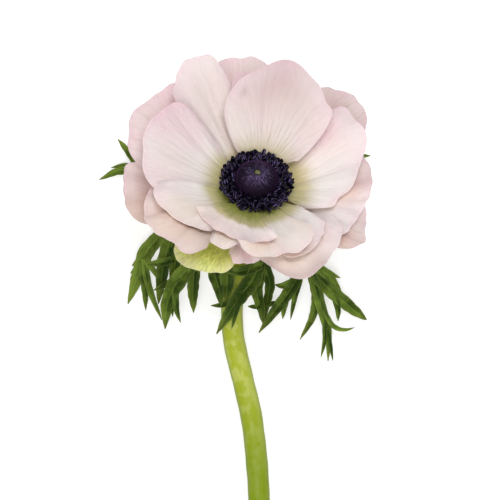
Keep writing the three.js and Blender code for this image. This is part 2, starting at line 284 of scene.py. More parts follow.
def rim_line(reaches, share):
    """A smooth line through evenly spaced numbers, at shares of its length."""
    reaches = np.asarray(reaches, float)
    last = len(reaches) - 1
    place = share * last
    k = np.minimum(place.astype(int), last - 1)
    before, start, end, after = (reaches[np.clip(k + step, 0, last)] for step in (-1, 0, 1, 2))
    return hermite(start, end, (end - before) / 2, (after - start) / 2, place - k)


def smooth_path(points, steps):
    """A smooth path through points in space, resampled into even steps."""
    points = np.asarray(points, float)
    padded = np.vstack([2 * points[0] - points[1], points, 2 * points[-1] - points[-2]])
    share = np.linspace(0, 1, FINE_STEPS, endpoint=False)[:, None]
    pieces = []
    for p0, p1, p2, p3 in zip(padded, padded[1:], padded[2:], padded[3:]):
        d0, d1, d2 = (np.linalg.norm(b - a) ** 0.5 for a, b in ((p0, p1), (p1, p2), (p2, p3)))
        leave = d1 * ((p1 - p0) / d0 - (p2 - p0) / (d0 + d1) + (p2 - p1) / d1)
        arrive = d1 * ((p2 - p1) / d1 - (p3 - p1) / (d1 + d2) + (p3 - p2) / d2)
        pieces.append(hermite(p1, p2, leave, arrive, share))
    fine = np.vstack([*pieces, points[-1:]])
    travelled = np.concatenate([[0], np.cumsum(np.linalg.norm(np.diff(fine, axis=0), axis=1))])
    even = np.linspace(0, travelled[-1], steps + 1)
    return np.stack([np.interp(even, travelled, fine[:, axis]) for axis in range(3)], axis=1)


def unit(vectors):
    """Vectors of length one."""
    return vectors / np.linalg.norm(vectors, axis=-1, keepdims=True)


def ripple(random, lowest, highest, count=5):
    """A smooth random line about zero: a few sine waves of different lengths, heights and starts."""
    turns = random.uniform(lowest, highest, count)
    starts = random.uniform(0, 2 * math.pi, count)
    heights = random.uniform(0.5, 1, count) / count**0.5

    def line(x):
        return sum(h * np.sin(f * x + s) for f, s, h in zip(turns, starts, heights))

    return line


# %% [markdown]
# ## From a grid to a thin body
# Petals and leaves are sheets with a thin edge. Each starts as a grid of points for its upper face. A
# second grid, a thickness below the first, makes the lower face, and a strip closes the edge. A solidify
# modifier could do this too, but by itself it can't thin the edge.

# %% Mesh helpers
def make_piece(name, points, faces, numbers, finish):
    """A smooth mesh piece, in metres, with numbers stored on its points for the finish to read."""
    mesh = bpy.data.meshes.new(name)
    mesh.from_pydata(((points + TO_MIDDLE) * MM).tolist(), [], faces)
    mesh.shade_smooth()
    for label, values in numbers.items():
        stored = mesh.attributes.new(label, "FLOAT", "POINT")
        stored.data.foreach_set("value", np.asarray(values, np.float32).ravel())
    mesh.materials.append(finish)
    return placed(name, mesh)


def stand_for(piece, node):
    """The piece is shown in place of a plain node of the construction model."""
    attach(piece, "root")
    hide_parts(node)


def grid_normals(top):
    """The direction that each point of a grid faces."""
    return unit(np.cross(np.gradient(top, axis=0), np.gradient(top, axis=1)))


def thin_body(top, thickness):
    """Points and faces of a closed sheet: its upper grid, its lower grid and the edge between them."""
    rows, columns = top.shape[:2]
    low = top - grid_normals(top) * thickness[..., None]
    step = rows * columns
    number = np.arange(step).reshape(rows, columns)
    under = number + step
    upper_faces = np.stack([number[:-1, :-1], number[1:, :-1], number[1:, 1:], number[:-1, 1:]], axis=-1)
    lower_faces = np.stack([under[:-1, :-1], under[:-1, 1:], under[1:, 1:], under[1:, :-1]], axis=-1)
    edge = np.concatenate([number[:-1, 0], number[-1, :-1], number[:0:-1, -1], number[0, :0:-1]])
    onward = np.roll(edge, -1)
    edge_faces = np.stack([edge, edge + step, onward + step, onward], axis=-1)
    points = np.concatenate([top.reshape(-1, 3), low.reshape(-1, 3)])
    faces = np.concatenate([upper_faces.reshape(-1, 4), lower_faces.reshape(-1, 4), edge_faces])
    return points, faces.tolist()


def both_sides(values):
    """Numbers of the upper grid, repeated for the lower one."""
    return np.concatenate([values.ravel(), values.ravel()])


def joined(bodies):
    """Several bodies as one. A body is its points, its faces and the numbers stored on its points."""
    all_points, all_faces, count = [], [], 0
    for points, faces, _ in bodies:
        all_points.append(points)
        all_faces += [[i + count for i in face] for face in faces]
        count += len(points)
    numbers = {label: np.concatenate([body[2][label] for body in bodies]) for label in bodies[0][2]}
    return np.concatenate(all_points), all_faces, numbers


print("helpers ready")

# %% [markdown]
# ## The finish of a petal
# A petal is nearly white, with green at the foot, pink at the rim and in soft patches, and fine veins
# that fan out from the foot. The mesh stores how green and how pink each point is and where it lies
# between the veins. The nodes turn that into colour and a faint relief. Light enters a petal and leaves
# it elsewhere, which the subsurface setting imitates.

# %% Petal finish
CREAM = (0.92, 0.81, 0.765, 1)
BLUSH = (0.90, 0.53, 0.63, 1)
# peach: partly the petals' own tint, partly a warm painted shade under lips and beside overlapping petals
PEACH_AND_SHADE_COLOUR = (0.90, 0.66, 0.52, 1)
# painted shade: a grey that is multiplied in where shade falls on a petal
PAINTED_SHADE_COLOUR = (0.50, 0.45, 0.47, 1)
LIME_CREAM = (0.50, 0.44, 0.225, 1)
OLIVE = (0.235, 0.25, 0.040, 1)
# painted shade: near black, where the stamens overhang a petal's foot
PAINTED_SHADE_UNDER_STAMENS = (0.030, 0.026, 0.030, 1)
VEIN = (0.56, 0.49, 0.36, 1)
BACK = (0.95, 0.74, 0.62, 1)
BACK_SHARE = 0.4
PETAL_SCATTER_MM = 1.6
STREAK_DRAWN_OUT = 0.012
VEIN_WANDER = 1.6
SIDE_VEINS_PER_RIB = 2.7
SIDE_VEIN_WIDTH = 0.2
SIDE_VEIN_SHARE = 0.45


def vein_lines(rib, wobble, width):
    """Thin lines, one where each rib has a whole number, that wander a little."""
    place = plus(rib, times(wobble, VEIN_WANDER))
    from_line = math_of("PINGPONG", place, 0.5)
    return remap(from_line, width, 0.0)


def pink_share(surface, threads):
    """How pink a petal is: what the mesh says, with faint clouds and threads in it."""
    clouds = remap(blotches(surface, scale=90.0), 0.4, 0.8, 0, 0.12)
    cloudy = plus(attribute(surface, "blush"), clouds)
    return times(cloudy, remap(threads, 0.3, 0.7, 0.75, 1.2), clamp=True)


def vein_share(surface, main_veins, side_veins, broad):
    """How clearly the veins show. They come and go with the broad streaks."""
    lines = plus(main_veins, times(side_veins, SIDE_VEIN_SHARE))
    patchy = times(lines, remap(broad, 0.42, 0.68, 0.05, 0.55))
    return times(patchy, attribute(surface, "veined"), clamp=True)


def with_foot_and_shade(surface, colour, broad):
    """A petal's colour with its green foot, the painted shade under the stamens, other painted shade and the
    warm back.
    """
    green = times(attribute(surface, "green"), remap(broad, 0.3, 0.7, 0.88, 1.12))
    colour = tinted(colour, (LIME_CREAM, green, 0.0, 0.5, 1), (OLIVE, green, 0.45, 1.0, 1))
    # painted shade under the stamens
    colour = blend_of(attribute(surface, "foot"), colour, PAINTED_SHADE_UNDER_STAMENS)
    # painted shade, multiplied into the colour
    colour = blend_of(attribute(surface, "dusk"), colour, PAINTED_SHADE_COLOUR, "MULTIPLY")
    return blend_of(times(attribute(surface, "back"), BACK_SHARE), colour, BACK)


def petal_finish(name, body_colour, vein_colour, vein_width=0.2, streaked=0.06):
    """The finish of a petal, from its body colour up to the relief of its veins."""
    finish, surface = start_finish(
        name, Roughness=0.55, Specular_IOR_Level=0.3, Sheen_Weight=0.1, Subsurface_Weight=0.6,
        Subsurface_Scale=PETAL_SCATTER_MM * MM, Subsurface_Radius=(1.0, 0.85, 0.8),
    )
    fan, rib, reach = (attribute(surface, label) for label in ("fan", "rib", "reach"))
    slow_reach = times(reach, STREAK_DRAWN_OUT)
    broad = streaks(fan, slow_reach, scale=9.0, detail=4.0)
    threads = streaks(fan, slow_reach, scale=34.0)
    wobble = streaks(times(reach, 0.05), fan, scale=2.2, detail=2.0)
    main_veins = vein_lines(rib, wobble, vein_width)
    side_veins = vein_lines(times(rib, SIDE_VEINS_PER_RIB), wobble, SIDE_VEIN_WIDTH)
    colour = blend_of(pink_share(surface, threads), body_colour, BLUSH)
    # peach tint, and warm painted shade where lips and neighbours shade the petal
    colour = blend_of(attribute(surface, "peach"), colour, PEACH_AND_SHADE_COLOUR)
    colour = tinted(colour, (vein_colour, threads, 0.4, 0.62, streaked))
    colour = blend_of(vein_share(surface, main_veins, side_veins, broad), colour, vein_colour)
    plug(with_foot_and_shade(surface, colour, broad), surface.inputs["Base Color"])
    height = plus(times(broad, 0.7), times(threads, 0.3))
    height = math_of("SUBTRACT", height, times(main_veins, 0.12))
    relief(surface, height, 0.5, 0.7)
    return finish


blush_petal = petal_finish("blush_petal", CREAM, VEIN)
print("petal finish wired")

# %% [markdown]
# ## The shape of a petal
# Every petal lies on a bowl round the bloom's axis. Inner petals lie on steep bowls, outer ones on flat
# bowls below them, so they overlap without touching. A petal opens like a fan from its foot, and its rim
# is a smooth line through how far it reaches at even steps across the fan.
# That is the construction model's petal. On top of it come broad waves, ribs along the veins, a fold or
# two, a crest where the lip turns over, and an edge that rolls back.

# %% Petal shape
FOOT_RADIUS = 5.05
FOOT_HALF_WIDTH = 2.3
FOOT_FAN_SHARE = 0.7
TOP_HEIGHT = 0.5
LEVEL_DROP = 0.85
LEVEL_SLOPE = [0.96, 0.79, 0.66, 0.54, 0.43, 0.33, 0.23]
TURN_RADIUS = 14
TURN_SOFTNESS = 14
PETAL_THICK = 0.34
EDGE_THICK = 0.12
CELLS_ACROSS = 96
CELLS_ALONG = 60
ACROSS = np.sin(np.linspace(-1, 1, CELLS_ACROSS + 1) * math.pi / 2)[:, None]
ALONG = np.linspace(0, 1, CELLS_ALONG + 1)[None, :]
WIDE_FAN = 35
LIFT_RIPPLES = [(2, 6, 5), (9, 20, 6), (24, 50, 8), (9, 24, 5)]
PLEAT_HEIGHT = 0.28
RIB_HEIGHT = 0.09
FRILL_HEIGHT = 0.3
CREST_WIDTH = 0.12
CREASE_WIDTH = 0.1
CREASE_SOFTNESS = 0.02
RAGGED_EDGE = 0.25


def bowl_rise(radius):
    return 0.5 * (radius - TURN_RADIUS + np.hypot(radius - TURN_RADIUS, TURN_SOFTNESS))


def bowl_height(level, radius):
    """How high the bowl of a level is, at a distance from the bloom's axis."""
    rise = bowl_rise(radius) - bowl_rise(FOOT_RADIUS)
    return TOP_HEIGHT - LEVEL_DROP * level + LEVEL_SLOPE[level] * rise


def petal_grid(level, azimuth, fan, rim, dip, lift, ragged):
    """The upper face of a petal as a grid, raised by lift, its distance from the axis and from its foot."""
    t, u = ACROSS, ALONG
    ray = rim_line(rim, (t + 1) / 2) + ragged
    angle = math.radians(fan) * t * between(FOOT_FAN_SHARE, 1, u)
    sideways = between(FOOT_HALF_WIDTH * t, ray * np.sin(angle), u)
    outwards = FOOT_RADIUS + u * ray * np.cos(angle)
    radius = np.hypot(sideways, outwards)
    turn = math.radians(azimuth) - np.arctan2(sideways, outwards)
    height = bowl_height(level, radius) - dip * (1 - t * t) * u**4 + lift
    grid = np.stack([radius * np.cos(turn), radius * np.sin(turn), height], axis=-1)
    return grid, radius, u * ray


def petal_lift(random, fan, wave=0.5, crest=0, crease=0, crest_at=0.76, crest_lean=0, roll=0.7, folds=()):
    """How far waves, pleats, ribs, folds and a turned lip raise each point of a petal."""
    t, u = ACROSS, ALONG
    narrow = min(1, fan / WIDE_FAN)
    ripples = [ripple(random, low * narrow, high * narrow, count) for low, high, count in LIFT_RIPPLES]
    broad, pleats, ribs, frill = (line(t) for line in ripples)
    waved = wave * broad * u**2 + PLEAT_HEIGHT * pleats * eased(u, 0.1, 0.6)
    ribbed = RIB_HEIGHT * ribs * np.sin(math.pi * u)
    frilled = FRILL_HEIGHT * frill * u**8
    from_crest = u - crest_at - crest_lean * t
    turned = crest * np.exp(-((from_crest / CREST_WIDTH) ** 2)) * (1 - t**4)
    creased = crease * np.exp(-np.hypot(from_crest, CREASE_SOFTNESS) / CREASE_WIDTH)
    rolled = roll * eased(u, 0.8, 1) ** 2
    folded = sum(depth * np.exp(-(((t - at) / width) ** 2)) for at, width, depth in folds)
    return waved + ribbed + frilled + turned + creased - rolled + folded * eased(u, 0.05, 0.5)


print("petals lie on", len(LEVEL_SLOPE), "bowls")

# %% [markdown]
# ## What a petal tells its finish
# Pink, peach and painted shade could be put on an image. Instead each petal stores them on its own points,
# as soft spots at a place across the fan (-1 to 1) and along it (0 to 1), so no image goes with the part.

# %% One petal
DISC_EDGE = 12.5
FOOT_SHADE = (7.5, 9.8)
# painted shading: the outer part of every petal is darker, so the part near the foot stays light against the
# shade there
OUTWARD_PAINTED_SHADE = 0.13
DEGREES_PER_STREAK = 30
DEGREES_PER_RIB = 6.5
SHAPE_WORDS = ("wave", "crest", "crease", "crest_at", "crest_lean", "roll", "folds")


def spots_at(spots):
    """How strong a handful of soft round spots (t, u, size, strength) is at each point of a petal."""
    total = np.zeros(np.broadcast(ACROSS, ALONG).shape)
    for t, u, size, strength in spots:
        total += strength * np.exp(-((ACROSS - t) ** 2 + (ALONG - u) ** 2) / size**2)
    return total


def rim_share(random):
    """How near each point is to the rim and the sides, where the pink gathers, unevenly."""
    t, u = ACROSS, ALONG
    uneven = 0.75 + 0.5 * ripple(random, 3, 12)(t)
    at_rim = 0.55 * eased(u, 0.72, 1.0) * uneven + 0.6 * eased(u, 0.93, 1.0)
    at_sides = 0.6 * eased(np.abs(t), 0.8, 1) * eased(u, 0.25, 0.6)
    return np.maximum(at_rim, at_sides)


def petal_numbers(random, azimuth, fan, radius, reach, pink=(), peach=(), dusk=(), tone=0, rim_pink=0.45,
                  green=0.8, green_to=9, green_end=1, veined=1.0, vein_fade=0.85):
    """The numbers that a petal's finish reads at each point of its grid."""
    t, u = ACROSS, ALONG
    near_disc = 1 - eased(radius - DISC_EDGE, -3.0, green_to)
    return {
        "fan": t * fan / DEGREES_PER_STREAK + azimuth + 0 * u,
        "rib": t * fan / DEGREES_PER_RIB + 0 * u,
        "reach": reach,
        "blush": rim_pink * rim_share(random) + spots_at(pink),
        # peach tint, and warm painted shade where lips and neighbours shade the petal
        "peach": spots_at(peach),
        # painted shade: a petal's own amount, soft spots and its darker outer part darken it where shade
        # falls; below zero they paint light
        "dusk": tone + spots_at(dusk) + OUTWARD_PAINTED_SHADE * eased(u, 0.3, 0.8),
        "green": green * near_disc * (1 - eased(u, green_end - 0.14, green_end + 0.04)),
        "veined": veined * (1 - vein_fade * eased(u, 0.2, 0.75)) + 0 * t,
        # painted shade under the stamens, near the petal's foot
        "foot": 1 - eased(radius, *FOOT_SHADE),
    }


def petal(name, level, azimuth, fan, rim, dip=0, finish=None, **details):
    """One petal in place of its plain node. Its details are words of its shape or of its numbers."""
    random = np.random.default_rng(azimuth + 10 * level)
    shape = {word: details.pop(word) for word in SHAPE_WORDS if word in details}
    lift = petal_lift(random, fan, **shape)
    ragged = RAGGED_EDGE * ripple(random, 8, 26)(ACROSS)
    grid, radius, reach = petal_grid(level, azimuth, fan, rim, dip, lift, ragged)
    near_edge = eased(np.maximum(np.abs(ACROSS), ALONG), 0.7, 1.0)
    points, faces = thin_body(grid, between(PETAL_THICK, EDGE_THICK, near_edge))
    on_petal = petal_numbers(random, azimuth, fan, radius, reach, **details)
    numbers = {label: both_sides(values) for label, values in on_petal.items()}
    numbers["back"] = np.repeat([0.0, 1.0], grid[..., 0].size)
    piece = make_piece(f"{name}_petal", in_bloom(points), faces, numbers, finish or blush_petal)
    stand_for(piece, f"petal_{name}")
    print(piece.name, "reaches", round(float(reach.max()), 1), "mm from its foot")


# %% [markdown]
# ## The innermost petals
# Two petals stand in front of all others: the broad one that rises behind the heart, and the one that
# curves round in front of it and turns its lip outwards.

# %% Innermost petals
# Painted shade: the darkening amounts and spots given to these petals stand in for shade; below zero they
# paint light.
petal("top_front", 0, 77, 62, [8, 23, 28, 31, 34, 33, 30, 27, 13], wave=0.7,
      folds=[(0.25, 0.12, -0.35), (-0.35, 0.16, 0.3)], green=0.42, green_to=10, veined=2.2,
      pink=[(-0.1, 1.0, 0.3, 0.2), (0.7, 0.6, 0.2, 0.15)],
      dusk=[(0, 1.0, 0.45, 0.6), (-0.45, 0.87, 0.05, 0.35)], tone=0.22)
petal("bottom_front", 0, 250, 39, [25, 26, 25, 24, 23, 23, 23, 23, 22], dip=2.5, crease=1.2,
      crest_at=0.68, crest_lean=-0.14, roll=1.0, green=1.1, green_to=18, green_end=0.74,
      pink=[(0.2, 0.95, 0.5, 0.15)], peach=[(0, 0.85, 0.6, 0.15), (0.85, 0.8, 0.4, 0.3)],
      dusk=[(at, 0.9, 0.28, 0.25) for at in (-0.5, 0, 0.5)])

# %% [markdown]
# ## The lips
# Below the heart the petals crowd together. Their rims turn outwards one behind another, like pages,
# so each gets a crest before its edge.

# %% Lips
# Painted shade: the darkening amounts and spots given to these petals stand in for shade; below zero they
# paint light.
petal("left_upper_lip", 1, 213, 40, [14, 24.4, 28.6, 31.6, 32.6, 28.2, 12], dip=1, crest=0.5, green_to=10,
      green=1.0, pink=[(0.5, 0.9, 0.35, 0.2)], peach=[(-0.2, 0.8, 0.5, 0.6)], roll=2.1, tone=-0.08)
petal("right_lower_lip", 1, 284, 34, [23, 27, 30, 31, 30, 31, 32, 30, 24], dip=2.5, crest=0.6, green=1.0,
      tone=-0.12, peach=[(-0.9, 0.8, 0.4, 0.4), (0, 0.9, 0.7, 0.2), (0.6, 0.82, 0.35, 0.6)],
      dusk=[(0.5, 0.85, 0.35, 0.45), (0, 0.92, 0.25, 0.2)])
petal("right_second_lip", 2, 306, 36, [13, 22, 26, 29, 31, 30, 18], dip=1.5, crest=0.6,
      peach=[(0.5, 0.9, 0.35, 0.6)], dusk=[(0.4, 0.9, 0.3, 0.35)])
petal("left_lower_lip", 3, 213, 32,
      [30, 37.5, 38.5, 37.5, 37, 38, 39.5, 39.5, 39.5, 38.5, 37, 36, 35, 33.5, 32, 29.5, 26], crest=2.2,
      green=0.6, folds=[(-0.45, 0.07, -0.6), (-0.15, 0.1, 0.5), (0.15, 0.07, -0.6), (0.5, 0.1, 0.4)],
      rim_pink=0.75, peach=[(-0.2, 0.85, 0.9, 0.6)], dusk=[(-0.6, 0.85, 0.5, 0.1)], tone=0.44)
petal("right_third_lip", 4, 294, 50, [25, 30, 32, 34, 36, 39, 37, 30, 25, 23, 21], crest=0.6, green=0.7,
      rim_pink=0.24, pink=[(-0.6, 0.8, 0.3, 0.25)], peach=[(0.2, 0.9, 0.5, 0.35)],
      dusk=[(-0.5, 0.95, 0.4, 0.25), *((at, 1.05, 0.18, 0.7) for at in (-0.2, 0, 0.2, 0.4))])

# %% [markdown]
# ## The inner ring
# Broad petals close the cup to the left, the right and the top. Two small ones show between them.

# %% Inner ring
# Painted shade: the darkening amounts and spots given to these petals stand in for shade; below zero they
# paint light.
petal("left_inner", 2, 166, 47, [20, 31, 34, 34, 35, 35, 34, 32, 17], wave=0.7, green=0.65, green_to=10,
      tone=0.17, pink=[(0.55, 0.95, 0.4, 0.5), (-0.5, 0.9, 0.3, 0.2)])
petal("right_inner", 3, 11, 52, [24, 36, 36, 35.2, 31, 28, 24.2, 22, 12], wave=0.7, green=0.65,
      green_to=13, folds=[(-0.1, 0.2, -0.4)], veined=1.3, roll=1.3, tone=0.1,
      pink=[(-0.8, 0.7, 0.25, 0.45), (-0.5, 0.9, 0.4, 0.2)], dusk=[(0.5, 0.85, 0.5, -0.2)])
petal("top_left_inner", 3, 123, 23, [19, 34, 39.5, 43, 43.5, 42, 31], wave=0.3, green=0.6, tone=0.35,
      folds=[(0.45, 0.15, -0.7)], pink=[(-0.6, 0.9, 0.3, 0.2)], peach=[(-0.7, 0.5, 0.25, 0.2)])
petal("bottom_small", 2, 246, 14, [23, 28, 28, 27, 20], dip=1, crest=0.5, green=0.6,
      peach=[(0, 0.7, 0.6, 0.5)])
petal("top_small", 2, 98, 13, [24, 32, 34, 33, 24], tone=0.42, green=0.6, pink=[(0, 0.9, 0.6, 0.45)])

# %% [markdown]
# ## The outer ring
# The oldest petals lie lowest and flattest. They carry the most pink, and the one nearest the stem has
# stayed green, as the first petals of an anemone often do.

# %% Outer ring
GREEN_CREAM = (0.29, 0.38, 0.022, 1)
PALE_VEIN = (0.60, 0.66, 0.15, 1)

green_petal = petal_finish("green_petal", GREEN_CREAM, PALE_VEIN, vein_width=0.3, streaked=0.8)
# Painted shade: the darkening amounts and spots given to these petals stand in for shade; below zero they
# paint light.
petal("upper_right_outer", 5, 51, 26, [24, 38, 41, 43.2, 43.3, 41.8, 37.5], tone=0.82, veined=1.5,
      vein_fade=0.4)
petal("upper_left_outer", 5, 150, 37, [24, 37, 41.5, 44, 43, 43, 38], wave=0.4, tone=0.57, vein_fade=0.4,
      pink=[(0.6, 0.9, 0.5, 0.45), (-0.3, 0.95, 0.4, 0.15)])
petal("right_outer", 5, 347, 37, [34.5, 35.2, 34, 32.4, 31, 30, 20], tone=-0.1,
      pink=[(-0.2, 0.95, 0.5, 0.2)], peach=[(-0.3, 0.75, 0.3, 0.4)],
      dusk=[(-0.76, 0.85, 0.34, 1.4), (-0.3, 0.9, 0.25, 0.35)])
petal("bottom_pink_outer", 5, 262, 13, [24.5, 26.3, 27.2, 27.2, 23.5], roll=0.4, tone=-0.13,
      pink=[(0, 0.9, 0.8, 0.75)], peach=[(0, 0.9, 0.8, 0.1)])
petal("top_outer", 6, 98, 26, [24, 40, 45, 45, 45, 41, 24], dip=-4, wave=0.2, tone=0.62, veined=1.5,
      vein_fade=0.4, pink=[(-0.3, 0.95, 0.4, 0.1)])
petal("left_outer", 6, 187, 28, [26, 37, 40, 40, 40, 39, 26], tone=0.72, pink=[(0.2, 0.8, 0.6, 0.1)],
      peach=[(-0.6, 0.8, 0.6, 0.85)], dusk=[(-0.8, 0.8, 0.5, 0.6)])
petal("bottom_green_outer", 6, 241, 26, [14, 28, 32.3, 34.2, 36, 34.5, 30], finish=green_petal,
      veined=2.0, vein_fade=0.1, green=0.2, rim_pink=0.12,
      peach=[(0.95, 0.75, 0.28, 0.4), (0.3, 1.02, 0.15, 0.3), (-0.6, 1.02, 0.25, 0.35)])
petal("lower_right_outer", 6, 330, 24, [33, 34.2, 35.3, 37, 34, 24, 14], tone=0.75, veined=1.5,
      vein_fade=0.4, peach=[(0.5, 0.8, 0.5, 0.8)], dusk=[(0.5, 0.85, 0.3, 0.2)])

# %% [markdown]
# ## The skin of the stem
# The stem's lime green is paler in blotches and deeper towards the cut. Painted light pales its right side,
# and painted shade deepens its sides. Two drawn-out noises are enough for the blotches and lines.

# %% Stem finish
STEM_LIME = (0.365, 0.43, 0.028, 1)
STEM_PALE = (0.50, 0.54, 0.13, 1)
STEM_DEEP = (0.17, 0.25, 0.002, 1)
PITH = (0.72, 0.74, 0.45, 1)
LINES_DRAWN_OUT = 0.02
BANDS_DRAWN_OUT = 0.22


def stem_skin():
    """The finish of the stem. Its mesh says which way each point faces and how far the bloom is."""
    finish, surface = start_finish(
        "stem_skin", Roughness=0.38, Specular_IOR_Level=0.15, Subsurface_Weight=0.2,
        Subsurface_Scale=2.0 * MM, Subsurface_Radius=(0.8, 1.0, 0.3),
    )
    around, right, along, pith = (attribute(surface, name) for name in ("around", "right", "along", "pith"))
    lines = streaks(around, times(along, LINES_DRAWN_OUT), scale=6.0, beside=right)
    bands = streaks(times(along, BANDS_DRAWN_OUT), around, scale=1.0, beside=right)
    skin = tinted(
        STEM_LIME,
        (STEM_PALE, bands, 0.42, 0.62, 0.8),
        # painted light: paler on the right, as if lit from that side
        (STEM_PALE, right, 0.2, 1.0, 0.6),
        (STEM_DEEP, lines, 0.5, 0.8, 0.4),
        (STEM_DEEP, along, 65, 115, 0.8),
        # painted shade: deeper down the sides and underneath, away from the top
        (STEM_DEEP, around, 0.8, 0.25, 0.6),
    )
    plug(blend_of(pith, skin, PITH), surface.inputs["Base Color"])
    relief(surface, lines, 0.3, 0.5)
    return finish


stem_finish = stem_skin()
print("stem finish wired")

# %% [markdown]
# ## The stem
# The stem is a ribbed tube that lies on the table and bends up into the flower. It could be a curve with
# a round bevel, but the ribs, the swelling under the bloom and the slanting cut need a mesh: rings of
# points carried along the same smooth path as in the construction model.

# %% Stem
STEM_RADIUS = 3.6
NECK_RADIUS = 3.1
NECK_REACH = (14, 40)
RECEPTACLE_RADIUS = 4.7
RECEPTACLE_TOP = 0.9
RECEPTACLE_DEPTH = 6.6
CUT_SLANT = 0.35
STEM_LYING = [[1.5, -115], [4.6, -85], [7.2, -52], [7.6, -26], [5.2, 1], [2.1, 15], [-1.1, 29], [-1.8, 40]]
STEM_RISING = [[-0.6, 53, 4.1], [2.0, 63.6, 6.6], [4.3, 71.2, 11.1]]
STEM_RINGS = 240
STEM_SIDES = 48
STEM_WIDER = 1.08
STEM_RIBS = [(11, 0, 0.012), (7, 1, 0.008)]
STEM_UNEVEN = 0.04
PITH_RINGS = [(0.1, 1.1), (0.45, 0.9), (0.86, 0.35), (0.93, 0.0)]


def ring_angles(sides):
    """Even turns round a circle, one for each side."""
    return np.linspace(0, 2 * math.pi, sides, endpoint=False)


def stem_path():
    """The middle line of the stem, from its cut end to the receptacle's top."""
    lying = [[x, y, STEM_RADIUS] for x, y in STEM_LYING]
    heights = (-RECEPTACLE_DEPTH, -RECEPTACLE_DEPTH / 2, RECEPTACLE_TOP)
    seat = in_bloom(np.array([[0, 0, height] for height in heights]))
    return smooth_path([*lying, *STEM_RISING, *seat], STEM_RINGS)


def stem_radius(left):
    """The radius of the stem where a length is left to the receptacle's top."""
    whole = RECEPTACLE_DEPTH + RECEPTACLE_TOP
    neck = between(NECK_RADIUS, STEM_RADIUS, eased(left, *NECK_REACH))
    return between(RECEPTACLE_RADIUS, neck, eased(left, 0.8 * whole, 1.5 * whole))


def stem_rings():
    """The rings of the stem, the length left at each of them, and the angles of their points."""
    path, angle = stem_path(), ring_angles(STEM_SIDES)
    left = np.linalg.norm(path[1] - path[0]) * np.arange(STEM_RINGS, -1, -1)
    radius = stem_radius(left)
    swell = 1 - STEM_UNEVEN * (1 + np.sin(0.55 * left) * np.sin(0.21 * left + 1)) / 2
    ribs = 1 - sum(depth * (1 + np.cos(count * angle + start)) / 2 for count, start, depth in STEM_RIBS)
    tangent = unit(np.gradient(path, axis=0))
    side = unit(np.array([1.0, 0, 0]) - tangent * tangent[:, :1])
    face = np.cross(side, tangent)
    turn = STEM_WIDER * side[:, None] * np.sin(angle)[:, None] + face[:, None] * np.cos(angle)[:, None]
    rings = path[:, None] + turn * ((radius * swell)[:, None] * ribs)[..., None]
    rings[0] += tangent[0] * (CUT_SLANT * radius[0] * np.cos(angle))[:, None]
    return rings, left, angle


def tube_faces(rings, sides):
    """Faces of a tube of rings, with both ends closed."""
    number = np.arange(rings * sides).reshape(rings, sides)
    onward = np.roll(number, -1, axis=1)
    walls = np.stack([number[:-1], onward[:-1], onward[1:], number[1:]], axis=-1).reshape(-1, 4).tolist()
    return [*walls, number[0, ::-1].tolist(), number[-1].tolist()]


def build_stem():
    """The stem, with the hollowed pith of its cut end, in place of its plain node."""
    rings, left, angle = stem_rings()
    centre = rings[0].mean(axis=0)
    inward = unit(rings[1].mean(axis=0) - centre)
    pith = [centre + (rings[0] - centre) * share + inward * depth for share, depth in PITH_RINGS]
    whole = np.concatenate([np.stack(pith), rings])
    numbers = {
        # which way each point faces: a noise coordinate, and where the finish paints light on the right and
        # shade down the sides
        "around": np.tile(np.cos(angle), len(whole)),
        "right": np.tile(np.sin(angle), len(whole)),
        "along": np.repeat([left[0]] * len(pith) + left.tolist(), STEM_SIDES),
        "pith": np.repeat([1.0] * len(pith) + [0.0] * len(rings), STEM_SIDES),
    }
    faces = tube_faces(len(whole), STEM_SIDES)
    piece = make_piece("flower_stem", whole.reshape(-1, 3), faces, numbers, stem_finish)
    stand_for(piece, "stem")
    print("stem is", round(float(left[0])), "mm long")


build_stem()

# %% [markdown]
# ## The skin of the leaves
# The leaves are a mottled deep green with a pale midrib and edge, and painted light makes one half of each
# lobe lighter.
# The side veins are cheaper as a slanting sine wave than as geometry.

# %% Leaf finish
LEAF_DEEP = (0.017, 0.042, 0.001, 1)
LEAF_LIGHT = (0.160, 0.245, 0.030, 1)
LEAF_EDGE = (0.25, 0.35, 0.06, 1)
VEIN_SLANT = 2.2
VEIN_TURNS = 3.4
END_SHARE = 0.25


def leaf_blade():
    """The finish of a leaf. Its mesh says where each point lies across and along its lobe."""
    finish, surface = start_finish(
        "leaf_blade", Roughness=0.45, Specular_IOR_Level=0.1, Subsurface_Weight=0.1, Subsurface_Scale=0.8 * MM
    )
    across, along = attribute(surface, "blade_across"), attribute(surface, "blade_along")
    off_rib = math_of("ABSOLUTE", across)
    mottle = remap(blotches(surface, scale=160.0, detail=3.0), 0.38, 0.62, 0, 0.5)
    # mottle, the lobe's own tone and the painted shade of its leaf
    lightness = plus(mottle, attribute(surface, "blade_tone"))
    # painted light: one half of each lobe lighter, the other darker, as the light falls
    lightness = plus(lightness, remap(across, -0.25, 0.25, -0.1, 0.25), clamp=True)
    slant = math_of("SUBTRACT", along, times(off_rib, VEIN_SLANT))
    side_veins = math_of("SINE", times(slant, VEIN_TURNS))
    blade = tinted(
        blend_of(lightness, LEAF_DEEP, LEAF_LIGHT),
        (LEAF_EDGE, side_veins, 0.75, 1.0, 0.04),
        (LEAF_EDGE, off_rib, 0.2, 0.0, 0.25),
        (LEAF_EDGE, off_rib, 0.8, 1.0, 0.3),
    )
    blade = blend_of(times(attribute(surface, "blade_end"), END_SHARE), blade, LEAF_EDGE)
    plug(blade, surface.inputs["Base Color"])
    relief(surface, side_veins, 0.04, 0.4)
    return finish


leaf_finish = leaf_blade()
print("leaf finish wired")

